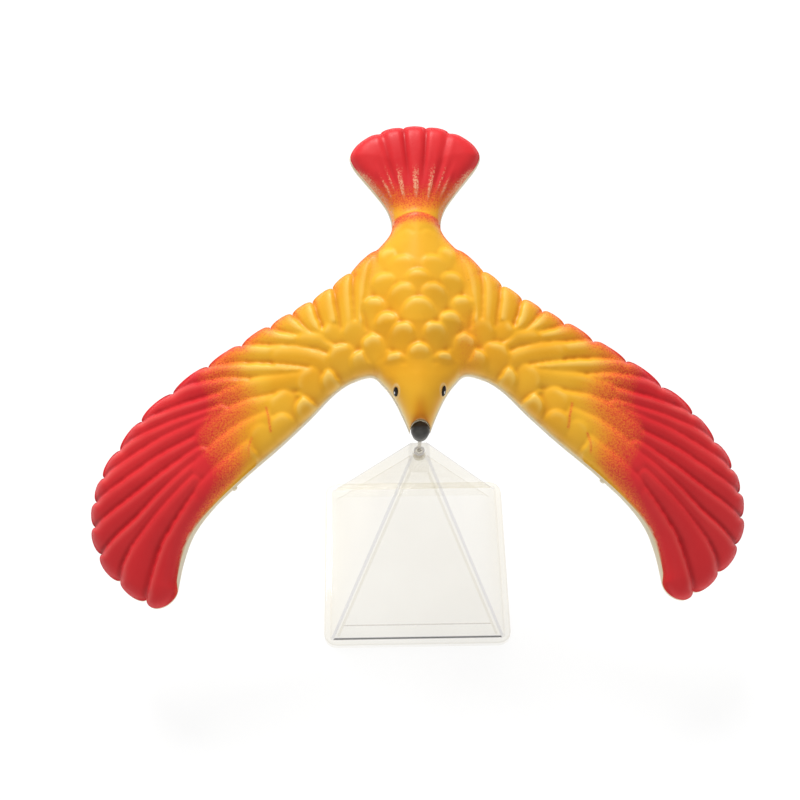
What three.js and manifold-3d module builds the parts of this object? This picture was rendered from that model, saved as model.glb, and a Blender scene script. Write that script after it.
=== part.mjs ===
// Balancing bird: a hollow plastic bird that stands on the point of its beak on a clear pyramid.
// Millimetres, +Z up. The head looks along -Y and the wings spread along X.
// The origin is at the bottom centre of the whole object's box, under the bird's back.
// The bird is drawn in a frame of its own: U to its left-right, W from beak to tail and
// N out of its back, all measured from the ball contact under the beak.

import * as THREE from 'three';
import * as BufferGeometryUtils from 'three/addons/utils/BufferGeometryUtils.js';
import Module from 'manifold-3d';

const wasm = await Module();
wasm.setup();

// ---- Driving dimensions -------------------------------------------------------------

const GAP = 0.3; // clearance between touching pieces

// Stand
const FLANGE_SIDE = 38.2;
const FLANGE_THICKNESS = 1.5;
const FLANGE_CORNER_RADIUS = 2.6;
const PYRAMID_SIDE = 36;
const PYRAMID_APEX_Z = 50.2; // where the four sloping faces would meet
const PLATFORM_Z = 45.4; // the flat top that cuts the apex off
const WALL = 1.5;
const CAVITY_TOP_Z = 40.5;

// Bearing under the beak
const PIVOT_Z = 45.5;
const BALL_RADIUS = 0.4;
const CUP_RADIUS = 1;
const CUP_HEIGHT = 1.5;

// Bird
const TAIL_UP_DEGREES = 25; // how far the balanced bird is pitched, tail high
const CENTRE_Y = 15; // from the pivot back to the middle of the whole object's box
const CELL = 2.2; // spacing of the shells' surface points
const SHELL_WALL = 1;

// Outline of the right half. Each list runs from the beak round to the tail.
const HEAD_SIDE = [[0, 0.6], [1.9, 1.6], [2.7, 3.1], [3.8, 5.5], [5, 7.9], [6.4, 10.2], [9, 12.7]];
const LEADING_EDGE = [
  [9, 12.7], [14.4, 10.5], [20.3, 4.9], [25.7, 0.1], [32.5, -5.4], [38.3, -10.6],
  [42, -15.2], [44.1, -20.2], [45.4, -25.4],
];
const FEATHER_TIPS = [
  [49, -28.4], [54.6, -26.2], [59.9, -21.2], [62.3, -15.6], [62.5, -10.4], [61.5, -5.8],
  [59.3, -1], [55, 4.6], [50.3, 9.4], [42.8, 14.7], [36.4, 18.4], [30, 22], [25.4, 24.4],
  [21.7, 26.4], [17.9, 28.6], [14.3, 31.2], [10.8, 34],
];
const TAIL_SIDE = [
  [7.6, 36.4], [5.1, 39.3], [4.6, 41.5], [5.4, 44.2], [7.4, 47.1], [9.7, 50], [11.5, 52.4],
  [12.3, 54.6], [11.3, 56.6], [9.6, 58], [7.9, 58.9], [6.3, 59.1],
];
const TAIL_TIPS = [[4.3, 60], [0, 60.4]];
const WING_NOTCH = 0.65; // depth of the valley between two feather tips
const TAIL_NOTCH = 0.4;

// The parting surface where the two shells meet
const ROOT_N = 6; // its height in the body
const DROOP = { start: 8, span: 54, drop: 15, power: 1.6 }; // towards the wing ends, along U
const FORWARD_DROOP = { start: -4, span: 25, drop: 5, power: 1.4 }; // towards the front, along W

// Thickness above and below the parting surface
const UPPER_EDGE = 1;
const LOWER_EDGE = 0.8;
const UPPER_CROWN = 2.4;
const LOWER_CROWN = 2;
const CROWN_REACH = 7; // distance from the outline at which the wings are at full thickness

// Body hump along W: [w, height over the back, depth under the belly, half width]
const BODY = [
  [0, 0.6, 0.2, 4], [5, 2.4, 1, 6.5], [12, 3.4, 2.4, 9.5], [22, 4.2, 3.6, 11],
  [30, 3.3, 3, 9.5], [38, 1.8, 1.6, 7], [46, 0.4, 0.3, 6], [61, 0, 0, 6],
];

// Beak and weights
const BEAK_DOME_W = 2.5;
const BEAK_DOME_N = 8.2;
const BEAK_DOME_RADIUS = 1.9;
const BEAK_NECK_RADIUS = 0.9;
const BEAK_BOTTOM = 4.6;
const PIN_RADIUS = 0.35;
const PIN_TOP = 6;
const PIN_LIFT = 0.25; // clearance between the pin's point and the ball
const WEIGHT_GAP = 0.35; // the slug's clearance above and below
const WEIGHT_INSET = 1; // how much further in the slug's edges thin down than the shells do
const WEIGHT = { u: 52, w: -17, halfWidth: 5, halfLength: 7.77, turnDegrees: 16 };

// ---- Materials ----------------------------------------------------------------------

const plastic = (color, roughness, extra = {}) =>
  new THREE.MeshStandardMaterial({ color, roughness, metalness: 0, ...extra });
const clearPlastic = plastic(0xf2f0e8, 0.1, { transparent: true, opacity: 0.35 });
const painted = plastic(0xf0b030, 0.45);
const ivory = plastic(0xeae4cc, 0.5);
const darkGrey = plastic(0x3a3a3a, 0.35);
const steel = new THREE.MeshStandardMaterial({ color: 0x9a9c9e, roughness: 0.35, metalness: 1 });

// ---- Solids by boolean --------------------------------------------------------------

function toManifold(geometry, matrix = new THREE.Matrix4()) {
  const bare = geometry.clone().applyMatrix4(matrix);
  for (const name of Object.keys(bare.attributes)) {
    if (name !== 'position') {
      bare.deleteAttribute(name);
    }
  }
  const merged = BufferGeometryUtils.mergeVertices(bare, 1e-4);
  return new wasm.Manifold(new wasm.Mesh({
    numProp: 3,
    vertProperties: new Float32Array(merged.attributes.position.array),
    triVerts: new Uint32Array(merged.index.array),
  }));
}

function fromManifold(solid) {
  const mesh = solid.getMesh();
  const geometry = new THREE.BufferGeometry();
  geometry.setAttribute('position', new THREE.BufferAttribute(mesh.vertProperties, 3));
  geometry.setIndex(new THREE.BufferAttribute(mesh.triVerts, 1));
  geometry.computeVertexNormals();
  return geometry;
}

// A four-sided frustum standing on z = bottom, with its sides along X and Y.
function squareFrustum(bottomSide, topSide, bottom, top) {
  const frustum = new THREE.CylinderGeometry(
    topSide / Math.SQRT2, bottomSide / Math.SQRT2, top - bottom, 4);
  frustum.rotateX(Math.PI / 2);
  frustum.rotateZ(Math.PI / 4);
  frustum.translate(0, 0, (top + bottom) / 2);
  return frustum;
}

// A solid of revolution about +Z from [radius, z] points that start and end on the axis.
function turned(profile, segments) {
  const points = profile.map(([radius, z]) => new THREE.Vector2(radius, z));
  const lathe = new THREE.LatheGeometry(points, segments);
  lathe.rotateX(Math.PI / 2);
  return lathe;
}

// ---- Stand --------------------------------------------------------------------------

function flangePlate() {
  const half = FLANGE_SIDE / 2;
  const r = FLANGE_CORNER_RADIUS;
  const outline = new THREE.Shape();
  outline.moveTo(half - r, -half);
  outline.absarc(half - r, -half + r, r, -Math.PI / 2, 0);
  outline.absarc(half - r, half - r, r, 0, Math.PI / 2);
  outline.absarc(-half + r, half - r, r, Math.PI / 2, Math.PI);
  outline.absarc(-half + r, -half + r, r, Math.PI, 1.5 * Math.PI);
  return new THREE.ExtrudeGeometry(outline, {
    depth: FLANGE_THICKNESS, bevelEnabled: false, curveSegments: 5,
  });
}

function standGeometry() {
  const sideAt = (z, side, apex) => side * (1 - z / apex);
  const pyramid = squareFrustum(
    PYRAMID_SIDE, sideAt(PLATFORM_Z, PYRAMID_SIDE, PYRAMID_APEX_Z), 0, PLATFORM_Z);
  const slope = Math.atan2(PYRAMID_APEX_Z, PYRAMID_SIDE / 2);
  const cavitySide = PYRAMID_SIDE - 2 * WALL / Math.sin(slope);
  const cavityApex = PYRAMID_APEX_Z * cavitySide / PYRAMID_SIDE;
  const below = -1; // the cavity tool starts under the stand so that the bottom is open
  const cavity = squareFrustum(
    sideAt(below, cavitySide, cavityApex), sideAt(CAVITY_TOP_Z, cavitySide, cavityApex),
    below, CAVITY_TOP_Z);
  const socketFloor = PLATFORM_Z - CUP_HEIGHT - GAP;
  const socketHeight = CUP_HEIGHT + 2 * GAP;
  const socket = new THREE.CylinderGeometry(CUP_RADIUS + GAP, CUP_RADIUS + GAP, socketHeight, 24);
  socket.rotateX(Math.PI / 2);
  socket.translate(0, 0, socketFloor + socketHeight / 2);
  return fromManifold(
    toManifold(flangePlate())
      .add(toManifold(pyramid))
      .subtract(toManifold(cavity))
      .subtract(toManifold(socket)));
}

// A short round cup with a hemispherical hollow, drawn from the pivot at (0, 0, 0).
function cupGeometry() {
  const top = PLATFORM_Z - PIVOT_Z;
  const hollow = BALL_RADIUS + GAP;
  const profile = [[0, top - CUP_HEIGHT], [CUP_RADIUS, top - CUP_HEIGHT], [CUP_RADIUS, top]];
  const steps = 6;
  const start = Math.asin(top / hollow);
  for (let i = 0; i <= steps; i += 1) {
    const angle = start + (-Math.PI / 2 - start) * (i / steps);
    profile.push([i === steps ? 0 : hollow * Math.cos(angle), hollow * Math.sin(angle)]);
  }
  return turned(profile, 24);
}

// ---- Outline of the bird ------------------------------------------------------------

const vectors = (points) => points.map(([u, w]) => new THREE.Vector2(u, w));

function splinePoints(points, perSpan) {
  return new THREE.SplineCurve(vectors(points)).getPoints(perSpan * (points.length - 1));
}

// The valley between two neighbouring tips: half way along, moved towards the inside.
function valley(tipA, tipB, depth) {
  const along = tipB.clone().sub(tipA).normalize();
  const inward = new THREE.Vector2(-along.y, along.x);
  return tipA.clone().lerp(tipB, 0.5).addScaledVector(inward, depth);
}

// Half an ellipse that leaves one valley, passes through the tip and ends in the next valley.
function lobe(from, tip, to) {
  const middle = from.clone().lerp(to, 0.5);
  const half = to.clone().sub(from).multiplyScalar(0.5);
  const out = tip.clone().sub(middle);
  const steps = 8;
  const points = [];
  for (let i = 1; i < steps; i += 1) {
    const angle = Math.PI * (1 - i / steps);
    points.push(middle.clone()
      .addScaledVector(half, Math.cos(angle))
      .addScaledVector(out, Math.sin(angle)));
  }
  return points;
}

function lobedEdge(start, tips, end, notch) {
  const ends = [start];
  for (let i = 1; i < tips.length; i += 1) {
    ends.push(valley(tips[i - 1], tips[i], notch));
  }
  ends.push(end);
  return tips.flatMap((tip, i) => [...lobe(ends[i], tip, ends[i + 1]), ends[i + 1]]);
}

function halfOutline() {
  const head = splinePoints(HEAD_SIDE, 4);
  const leading = splinePoints(LEADING_EDGE, 6).slice(1);
  const tailSide = splinePoints(TAIL_SIDE, 4);
  const wing = lobedEdge(
    leading[leading.length - 1], vectors(FEATHER_TIPS), tailSide[0], WING_NOTCH);
  const tips = vectors(TAIL_TIPS);
  const last = tips.length - 1;
  const mirroredTip = new THREE.Vector2(-tips[last - 1].x, tips[last - 1].y);
  const centreLobe = lobe(
    valley(tips[last - 1], tips[last], TAIL_NOTCH), tips[last],
    valley(tips[last], mirroredTip, TAIL_NOTCH));
  const sideLobes = lobedEdge(
    tailSide[tailSide.length - 1], tips.slice(0, last),
    valley(tips[last - 1], tips[last], TAIL_NOTCH), TAIL_NOTCH);
  const toMiddle = centreLobe.slice(0, (centreLobe.length + 1) / 2);
  return [...head, ...leading, ...wing, ...tailSide.slice(1), ...sideLobes, ...toMiddle];
}

function wholeOutline() {
  const right = halfOutline();
  const left = right.slice(1, -1).reverse().map((p) => new THREE.Vector2(-p.x, p.y));
  return [...right, ...left];
}

const OUTLINE = wholeOutline();

// The nearest point of the outline, and the distance to it, negative outside the bird.
function nearestOnOutline(u, w) {
  const here = new THREE.Vector2(u, w);
  const best = { distance: Infinity, point: null };
  let inside = false;
  OUTLINE.forEach((a, i) => {
    const b = OUTLINE[(i + 1) % OUTLINE.length];
    const edge = b.clone().sub(a);
    const share = THREE.MathUtils.clamp(here.clone().sub(a).dot(edge) / edge.lengthSq(), 0, 1);
    const point = a.clone().addScaledVector(edge, share);
    const distance = point.distanceTo(here);
    if (distance < best.distance) {
      best.distance = distance;
      best.point = point;
    }
    if ((a.y > w) !== (b.y > w) && u < a.x + (w - a.y) / (b.y - a.y) * (b.x - a.x)) {
      inside = !inside;
    }
  });
  return { distance: inside ? best.distance : -best.distance, point: best.point };
}

// ---- Heights of the bird's surfaces -------------------------------------------------

// The surface where the shells meet: level in the body, drooping towards the wing ends.
function partingN(u, w) {
  const out = Math.max(0, Math.abs(u) - DROOP.start) / DROOP.span;
  const forward = Math.max(0, FORWARD_DROOP.start - w) / FORWARD_DROOP.span;
  return ROOT_N
    - DROOP.drop * out ** DROOP.power
    - FORWARD_DROOP.drop * forward ** FORWARD_DROOP.power;
}

// How full the section is at a distance from the outline, 0 at the edge and 1 inside.
function fullness(distance) {
  const x = THREE.MathUtils.clamp(distance / CROWN_REACH, 0, 1);
  return Math.sqrt(1 - (1 - x) ** 2);
}

function bodyAt(w) {
  const last = BODY.length - 1;
  if (w >= BODY[last][0]) {
    return BODY[last];
  }
  const i = Math.max(0, BODY.findIndex((row) => row[0] > w) - 1);
  const share = THREE.MathUtils.clamp((w - BODY[i][0]) / (BODY[i + 1][0] - BODY[i][0]), 0, 1);
  return BODY[i].map((value, k) => THREE.MathUtils.lerp(value, BODY[i + 1][k], share));
}

function hump(u, w) {
  const [, over, under, halfWidth] = bodyAt(w);
  const across = Math.min(1, Math.abs(u) / halfWidth);
  const share = 0.5 + 0.5 * Math.cos(Math.PI * across);
  return { over: over * share, under: under * share };
}

const outerTop = (u, w, distance) =>
  partingN(u, w) + UPPER_EDGE + UPPER_CROWN * fullness(distance) + hump(u, w).over;
const outerBottom = (u, w, distance) =>
  partingN(u, w) - LOWER_EDGE - LOWER_CROWN * fullness(distance) - hump(u, w).under;
const innerTop = (u, w, distance) =>
  Math.max(partingN(u, w) + GAP / 2, outerTop(u, w, distance) - SHELL_WALL);
const innerBottom = (u, w, distance) =>
  Math.min(partingN(u, w) - GAP / 2, outerBottom(u, w, distance) + SHELL_WALL);

// ---- Shells -------------------------------------------------------------------------

// Points on a square grid inside the outline. Those next to the outline are moved onto it.
function surfaceGrid() {
  const reach = Math.max(...OUTLINE.map((p) => p.x));
  const front = Math.min(...OUTLINE.map((p) => p.y));
  const back = Math.max(...OUTLINE.map((p) => p.y));
  const columns = Math.ceil(reach / CELL) + 1;
  const rows = Math.ceil((back - front) / CELL) + 2;
  const grid = [];
  for (let i = -columns; i <= columns; i += 1) {
    const line = [];
    for (let j = -1; j <= rows; j += 1) {
      const u = i * CELL;
      const w = front + (j - 0.5) * CELL;
      const near = nearestOnOutline(u, w);
      const onEdge = Math.abs(near.distance) < CELL / 2;
      line.push({
        u: onEdge ? near.point.x : u,
        w: onEdge ? near.point.y : w,
        distance: onEdge ? 0 : near.distance,
        kept: onEdge || near.distance > 0,
        edge: onEdge,
      });
    }
    grid.push(line);
  }
  return grid;
}

// A triangle with all its corners on the outline has to lie this share of a cell inside it.
const MIN_INSET = 0.05;

// Triangles of the grid that lie inside the outline, counter-clockwise seen from above.
function gridTriangles(grid) {
  const triangles = [];
  const addTriangle = (...corners) => {
    if (!corners.every((corner) => corner.kept)) {
      return;
    }
    if (corners.every((corner) => corner.edge)) {
      const u = corners.reduce((sum, corner) => sum + corner.u, 0) / 3;
      const w = corners.reduce((sum, corner) => sum + corner.w, 0) / 3;
      if (nearestOnOutline(u, w).distance < CELL * MIN_INSET) {
        return;
      }
    }
    triangles.push(corners);
  };
  for (let i = 0; i + 1 < grid.length; i += 1) {
    const leftHalf = 2 * i + 1 < grid.length; // the right half's diagonals lean the other way
    for (let j = 0; j + 1 < grid[i].length; j += 1) {
      const a = grid[i][j];
      const b = grid[i + 1][j];
      const c = grid[i + 1][j + 1];
      const d = grid[i][j + 1];
      if (a.kept && c.kept && (!b.kept || !d.kept || leftHalf)) {
        addTriangle(a, b, c);
        addTriangle(a, c, d);
      } else {
        addTriangle(a, b, d);
        addTriangle(b, c, d);
      }
    }
  }
  return triangles;
}

const TRIANGLES = gridTriangles(surfaceGrid());

// A closed solid between two height functions over triangles that are seen from above.
function slab(triangles, topAt, bottomAt) {
  const numbers = new Map();
  for (const corner of triangles.flat()) {
    if (!numbers.has(corner)) {
      numbers.set(corner, numbers.size);
    }
  }
  const count = numbers.size;
  const position = new Float32Array(count * 6);
  for (const [corner, k] of numbers) {
    const { u, w, distance } = corner;
    position.set([u, w, topAt(u, w, distance)], k * 3);
    position.set([u, w, bottomAt(u, w, distance)], (count + k) * 3);
  }
  const index = [];
  const edges = new Set();
  for (const triangle of triangles) {
    const [a, b, c] = triangle.map((corner) => numbers.get(corner));
    index.push(a, b, c, count + a, count + c, count + b);
    [[a, b], [b, c], [c, a]].forEach(([from, to]) => edges.add(`${from},${to}`));
  }
  for (const edge of edges) {
    const [from, to] = edge.split(',').map(Number);
    if (!edges.has(`${to},${from}`)) {
      index.push(from, count + from, to, to, count + from, count + to);
    }
  }
  const geometry = new THREE.BufferGeometry();
  geometry.setAttribute('position', new THREE.BufferAttribute(position, 3));
  geometry.setIndex(index);
  return geometry;
}

// The beak's outside, with an extra clearance round it for the hole in the nose.
function beakProfile(clearance, bottomN) {
  const radius = BEAK_DOME_RADIUS + clearance;
  const neck = BEAK_NECK_RADIUS + clearance;
  const profile = [[0, bottomN], [neck, bottomN]];
  const steps = 8;
  const start = -Math.PI / 4;
  for (let i = 0; i <= steps; i += 1) {
    const angle = start + (Math.PI / 2 - start) * (i / steps);
    const r = i === steps ? 0 : radius * Math.cos(angle);
    profile.push([r, BEAK_DOME_N + radius * Math.sin(angle)]);
  }
  return profile;
}

// Everything of the beak lies along a line from the dome down to the pivot.
const beakLean = new THREE.Matrix4().makeRotationX(-Math.atan2(BEAK_DOME_W, BEAK_DOME_N));

function noseHole() {
  return toManifold(turned(beakProfile(GAP, 0), 24), beakLean);
}

const shellGeometry = (topAt, bottomAt) =>
  fromManifold(toManifold(slab(TRIANGLES, topAt, bottomAt)).subtract(noseHole()));

// ---- Beak, pin, ball and weights ----------------------------------------------------

const PIN_BOTTOM = BALL_RADIUS + PIN_LIFT;

function beakGeometry() {
  const bore = new THREE.CylinderGeometry(
    PIN_RADIUS + GAP, PIN_RADIUS + GAP, 2 * (PIN_TOP + GAP - BEAK_BOTTOM), 16);
  bore.rotateX(Math.PI / 2);
  bore.translate(0, 0, BEAK_BOTTOM);
  const beak = toManifold(turned(beakProfile(0, BEAK_BOTTOM), 24)).subtract(toManifold(bore));
  return fromManifold(beak).applyMatrix4(beakLean);
}

function pinGeometry() {
  const profile = [[0, PIN_BOTTOM], [PIN_RADIUS, PIN_BOTTOM], [PIN_RADIUS, PIN_TOP], [0, PIN_TOP]];
  return turned(profile, 16).applyMatrix4(beakLean);
}

// A cast steel slug that fills the oval pocket between the shells in the end of a wing.
function weightGeometry(side) {
  const rings = 5;
  const sectors = 28;
  const turn = side * THREE.MathUtils.degToRad(WEIGHT.turnDegrees);
  const cornerAt = (ring, sector) => {
    const angle = 2 * Math.PI * (sector / sectors);
    const across = WEIGHT.halfWidth * (ring / rings) * Math.cos(angle);
    const along = WEIGHT.halfLength * (ring / rings) * Math.sin(angle);
    const u = side * WEIGHT.u + across * Math.cos(turn) - along * Math.sin(turn);
    const w = WEIGHT.w + across * Math.sin(turn) + along * Math.cos(turn);
    return { u, w, distance: nearestOnOutline(u, w).distance };
  };
  const corners = [];
  for (let ring = 1; ring <= rings; ring += 1) {
    corners.push(Array.from({ length: sectors }, (_, sector) => cornerAt(ring, sector)));
  }
  const centre = cornerAt(0, 0);
  const triangles = [];
  for (let k = 0; k < sectors; k += 1) {
    const next = (k + 1) % sectors;
    triangles.push([centre, corners[0][k], corners[0][next]]);
    for (let ring = 1; ring < rings; ring += 1) {
      const inner = corners[ring - 1];
      const outer = corners[ring];
      triangles.push([inner[k], outer[k], outer[next]], [inner[k], outer[next], inner[next]]);
    }
  }
  return slab(
    triangles,
    (u, w, distance) => innerTop(u, w, distance - WEIGHT_INSET) - WEIGHT_GAP,
    (u, w, distance) => innerBottom(u, w, distance - WEIGHT_INSET) + WEIGHT_GAP);
}

// ---- Assembly -----------------------------------------------------------------------

function named(name, geometry, material) {
  const mesh = new THREE.Mesh(geometry, material);
  mesh.name = name;
  return mesh;
}

const stand = new THREE.Group();
stand.add(named('stand_pyramid', standGeometry(), clearPlastic));

const bearing = new THREE.Group();
bearing.position.z = PIVOT_Z;
bearing.add(named('apex_cup', cupGeometry(), clearPlastic));
bearing.add(named('pin_ball', new THREE.SphereGeometry(BALL_RADIUS, 16, 10), steel));

const bird = new THREE.Group();
bird.position.z = PIVOT_Z;
bird.rotation.x = THREE.MathUtils.degToRad(TAIL_UP_DEGREES);
bird.add(named('upper_shell', shellGeometry(outerTop, innerTop), painted));
bird.add(named('lower_shell', shellGeometry(innerBottom, outerBottom), ivory));
bird.add(named('beak_tip', beakGeometry(), darkGrey));
bird.add(named('pivot_pin', pinGeometry(), steel));
for (const [name, side] of [['left_wing_weight', -1], ['right_wing_weight', 1]]) {
  bird.add(named(name, weightGeometry(side), steel));
}

const balancingBird = new THREE.Group();
balancingBird.add(stand, bearing, bird);
balancingBird.position.y = -CENTRE_Y;

export default balancingBird;
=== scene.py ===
"""A balancing bird with airbrushed wings, standing by its beak on a clear plastic pyramid.

The shells are redrawn from the part's own outline and height formulas with the moulded feathers
added, so they fit the frame. Lengths in the drawing functions are millimetres; to_row() and
stand_mm() turn them into the row frame in metres.
"""

import math
from types import SimpleNamespace

import bpy
import numpy as np
from mathutils import Matrix, Vector
from mathutils.geometry import delaunay_2d_cdt


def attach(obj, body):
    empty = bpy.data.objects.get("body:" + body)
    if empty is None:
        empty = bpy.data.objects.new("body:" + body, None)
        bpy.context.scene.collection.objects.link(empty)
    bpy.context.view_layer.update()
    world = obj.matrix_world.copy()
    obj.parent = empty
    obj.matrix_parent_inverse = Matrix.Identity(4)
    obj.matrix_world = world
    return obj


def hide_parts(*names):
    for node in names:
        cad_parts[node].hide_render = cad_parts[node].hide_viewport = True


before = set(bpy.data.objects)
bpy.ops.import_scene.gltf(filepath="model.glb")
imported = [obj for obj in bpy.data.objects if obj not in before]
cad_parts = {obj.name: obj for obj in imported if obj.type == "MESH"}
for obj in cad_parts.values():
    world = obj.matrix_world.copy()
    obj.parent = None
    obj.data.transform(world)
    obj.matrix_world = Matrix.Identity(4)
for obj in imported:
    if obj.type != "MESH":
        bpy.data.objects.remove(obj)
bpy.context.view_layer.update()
SCENE = bpy.context.scene
MM = 0.001

# ---- The part's dimensions (mm) ---------------------------------------------------------

PIVOT_Z = 45.5
CENTRE_Y = 15.0
TAIL_UP = math.radians(25)
FLANGE_HALF, FLANGE_THICKNESS, FLANGE_CORNER = 19.1, 1.5, 2.6
PYRAMID_HALF, PYRAMID_APEX_Z, PLATFORM_Z = 18.0, 50.2, 45.4
WALL, CAVITY_TOP_Z = 1.5, 40.5
BALL_RADIUS, CUP_RADIUS, CUP_HEIGHT = 0.4, 1.0, 1.5
BEAK_W, BEAK_N, BEAK_RADIUS = 2.5, 8.2, 1.72
PIN_RADIUS, PIN_TOP, BEAK_BOTTOM = 0.35, 6.0, 4.6

HEAD_SIDE = [
    (0, 1.0), (1.0, 1.15), (1.62, 1.75), (2.1, 2.9), (2.75, 4.5), (3.65, 6.5), (4.8, 8.7), (6.4, 10.9),
    (9, 12.7),
]
LEADING_EDGE = [
    (9, 12.7), (14.4, 10.5), (20.3, 4.9), (25.7, 0.1), (32.5, -5.4), (38.3, -10.6),
    (42, -15.2), (44.1, -20.2), (45.4, -25.4),
]
FEATHER_TIPS = [
    (49, -28.4), (54.6, -26.2), (59.9, -21.2), (62.3, -15.6), (62.5, -10.4), (61.5, -5.8),
    (59.3, -1), (55, 4.6), (50.3, 9.4), (42.8, 14.7), (36.4, 18.4), (30, 22), (25.4, 24.4),
    (21.7, 26.4), (17.9, 28.6), (14.3, 31.2), (10.8, 34),
]
TAIL_SIDE = [
    (7.6, 36.4), (5.1, 39.3), (4.6, 41.5), (5.4, 44.2), (7.4, 47.1), (9.7, 50), (11.5, 52.4),
    (12.3, 54.6), (11.3, 56.6), (9.6, 58), (7.9, 58.9), (6.3, 59.1),
]
TAIL_TIPS = [(4.3, 60), (0, 60.4)]
WING_NOTCH, TAIL_NOTCH = 0.85, 0.4
ROOT_N = 6.0
# How far the body swells above and below the wings: w, upwards, downwards, half width.
BODY = np.array([
    (0, 0.6, 0.2, 4), (5, 2.4, 1, 6.5), (12, 3.4, 2.4, 9.5), (22, 4.2, 3.6, 11),
    (30, 3.3, 3, 9.5), (38, 1.8, 1.6, 7), (46, 0.4, 0.3, 6), (61, 0, 0, 6),
])
UPPER_EDGE, LOWER_EDGE = 1.0, 0.8
UPPER_CROWN, LOWER_CROWN, CROWN_REACH = 2.4, 2.0, 7.0

# ---- Fit and fineness of the drawn shells (mm) -------------------------------------------

TOP_SPACING, UNDER_SPACING = 0.24, 0.4
SEAM = 0.13  # half the gap between the shells
LIP = 1.0  # how far each shell turns inwards along the seam
NOSE_GAP = 0.1  # between the shells and the beak's dome
UPPER_INSET, LOWER_INSET = 0.28, 0.18  # how far the fine outlines stay inside the part's
HALF_SPAN, HALF_LENGTH, MIDDLE_W = 62.5, 44, 16.0  # of the bird, to scale it by the inset
TUCK = 0.34  # the painted shell stops this far short of the ivory one along the front,
TUCK_AT = [(3, 9, 20, 38, 44, 46), (0.35, 0.45, 0.8, 1.0, 2.0, 1.4)]  # times this at each u
RELIEF = 1.3  # how strongly the feathers stand out
LOWER_RELIEF = 0.45  # the share of it that shows below
DEEPEST = -1.12  # grooves stop here, above the steel weights
EYE_AT, EYE_RADII = (4.35, 9.4), (0.56, 1.02, 0.3)

# ---- Moulded feathers: (u, w) on the right half, mirrored to the left --------------------

# Line between each flight feather and the one behind it, from the edge inwards.
FLIGHT_LINES = [
    [(49.6, -20.6), (47.7, -16.2), (43.9, -10.6), (41.0, -6.9), (39.5, -5)],
    [(55.2, -18.9), (51.6, -14.2), (47.2, -9.4), (42.6, -5.1), (40, -3)],
    [(57.0, -14.9), (53.1, -11.8), (48.0, -7.1), (42.9, -2.9), (40, -1)],
    [(57.9, -10.4), (53.3, -7.4), (47.9, -3.7), (42.5, -0.3), (40, 1)],
    [(58.6, -6.6), (53.4, -3.4), (48.2, -0.3), (42.0, 2.5), (39, 4)],
    [(57.4, -2.2), (52.8, 0.4), (47.3, 3.2), (41.5, 5.4), (38.5, 6.5)],
    [(54.6, 2.6), (51.1, 4.1), (45.8, 5.9), (40.7, 7.2), (37.5, 8)],
    [(50.0, 7.2), (47.5, 7.9), (43.5, 9.0), (39.5, 9.9), (36, 10.7)],
    [(43.5, 12.5), (40.5, 12.9), (35.3, 13.2), (30.2, 12.8), (23.4, 12.6)],
    [(37.2, 16.0), (30.3, 15.7), (24.5, 15.0), (20, 14.2)],
    [(30.5, 19.3), (27.6, 18.9), (21.9, 18.4), (17.6, 16.6), (16, 15.4)],
    [(25.4, 21.4), (22.5, 20.6), (19.4, 20.3), (15.6, 18.6), (14, 17)],
    [(21.8, 22.8), (20.2, 21.2), (18.6, 20.6), (15, 19.4)],
    [(18.7, 24), (17.8, 21.8), (16.8, 20.4), (15, 19)],
    [(15.3, 26.5), (14.8, 23.5), (14.5, 20.5)],
    [(12.2, 29), (12.0, 25.5), (11.7, 22)],
]
# The last one, along the shoulder.
SHOULDER_LINE = [(7.6, 36.4), (8.7, 33), (9.5, 29), (9.8, 25), (9.9, 21)]
# Grooves between the tail's broad feathers, then the tail's half width: w, u.
TAIL_LINES = [
    [(2.1, 59.5), (1.95, 57), (1.6, 52), (1.3, 47), (1.0, 43.6)],
    [(6.2, 59), (5.7, 56.5), (4.5, 51.5), (3.4, 47.3), (2.6, 43.6)],
]
TAIL_HALF = np.array([(40, 4.4), (43, 5.1), (47, 7.4), (50, 9.7), (53, 11.8), (61, 13)])
TAIL_RIBS = 6  # fine ribs on each half
# How far in from the leading edge each flight feather shows.
FLIGHT_ROOTS = [36, 36, 36, 36, 36, 35, 34, 33, 30, 17, 15, 12, 9, 9, 9, 9, 7.4]
# Scales of the back: tip (u, w), half width, drop and reach of the slope to the root.
# The front ones lie over the ones behind.
BODY_SCALES = [
    (4.5, 16.3, 1.9, 0.42, 2.4), (0, 17.7, 2.3, 0.42, 3.6), (8.4, 20.0, 2.0, 0.42, 4.2),
    (3.0, 21.6, 2.35, 0.66, 4.8), (5.9, 23.9, 2.2, 0.66, 4.8), (0, 26.2, 3.4, 0.66, 5.0),
    (8.2, 27.0, 2.1, 0.6, 4.8), (2.9, 29.0, 2.65, 0.66, 4.8), (0, 31.5, 3.0, 0.6, 4.6),
    (6.2, 31.4, 2.4, 0.6, 4.6), (3.0, 34.5, 2.8, 0.42, 4.6), (5.4, 36.2, 1.7, 0.3, 4.2),
]
# Small coverts near the wing root: end of the spine, its start, radius.
LESSER = [
    ((10.4, 14.9), (9.6, 11.0), 2.2), ((13.8, 15.6), (11.0, 12.0), 2.9),
    ((15.6, 11.6), (12.6, 7.6), 2.3), ((19.6, 11.6), (16.0, 9.0), 2.8),
    ((20.0, 6.6), (17.0, 2.4), 2.7), ((25.0, 3.6), (21.6, -0.6), 2.5),
    ((24.6, 7.4), (21.0, 5.0), 2.9), ((28.6, 1.8), (25.0, -2.6), 2.6),
    ((11.6, 20.2), (10.0, 16.5), 2.6), ((15.7, 20.7), (13.0, 19.0), 1.9),
]
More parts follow.
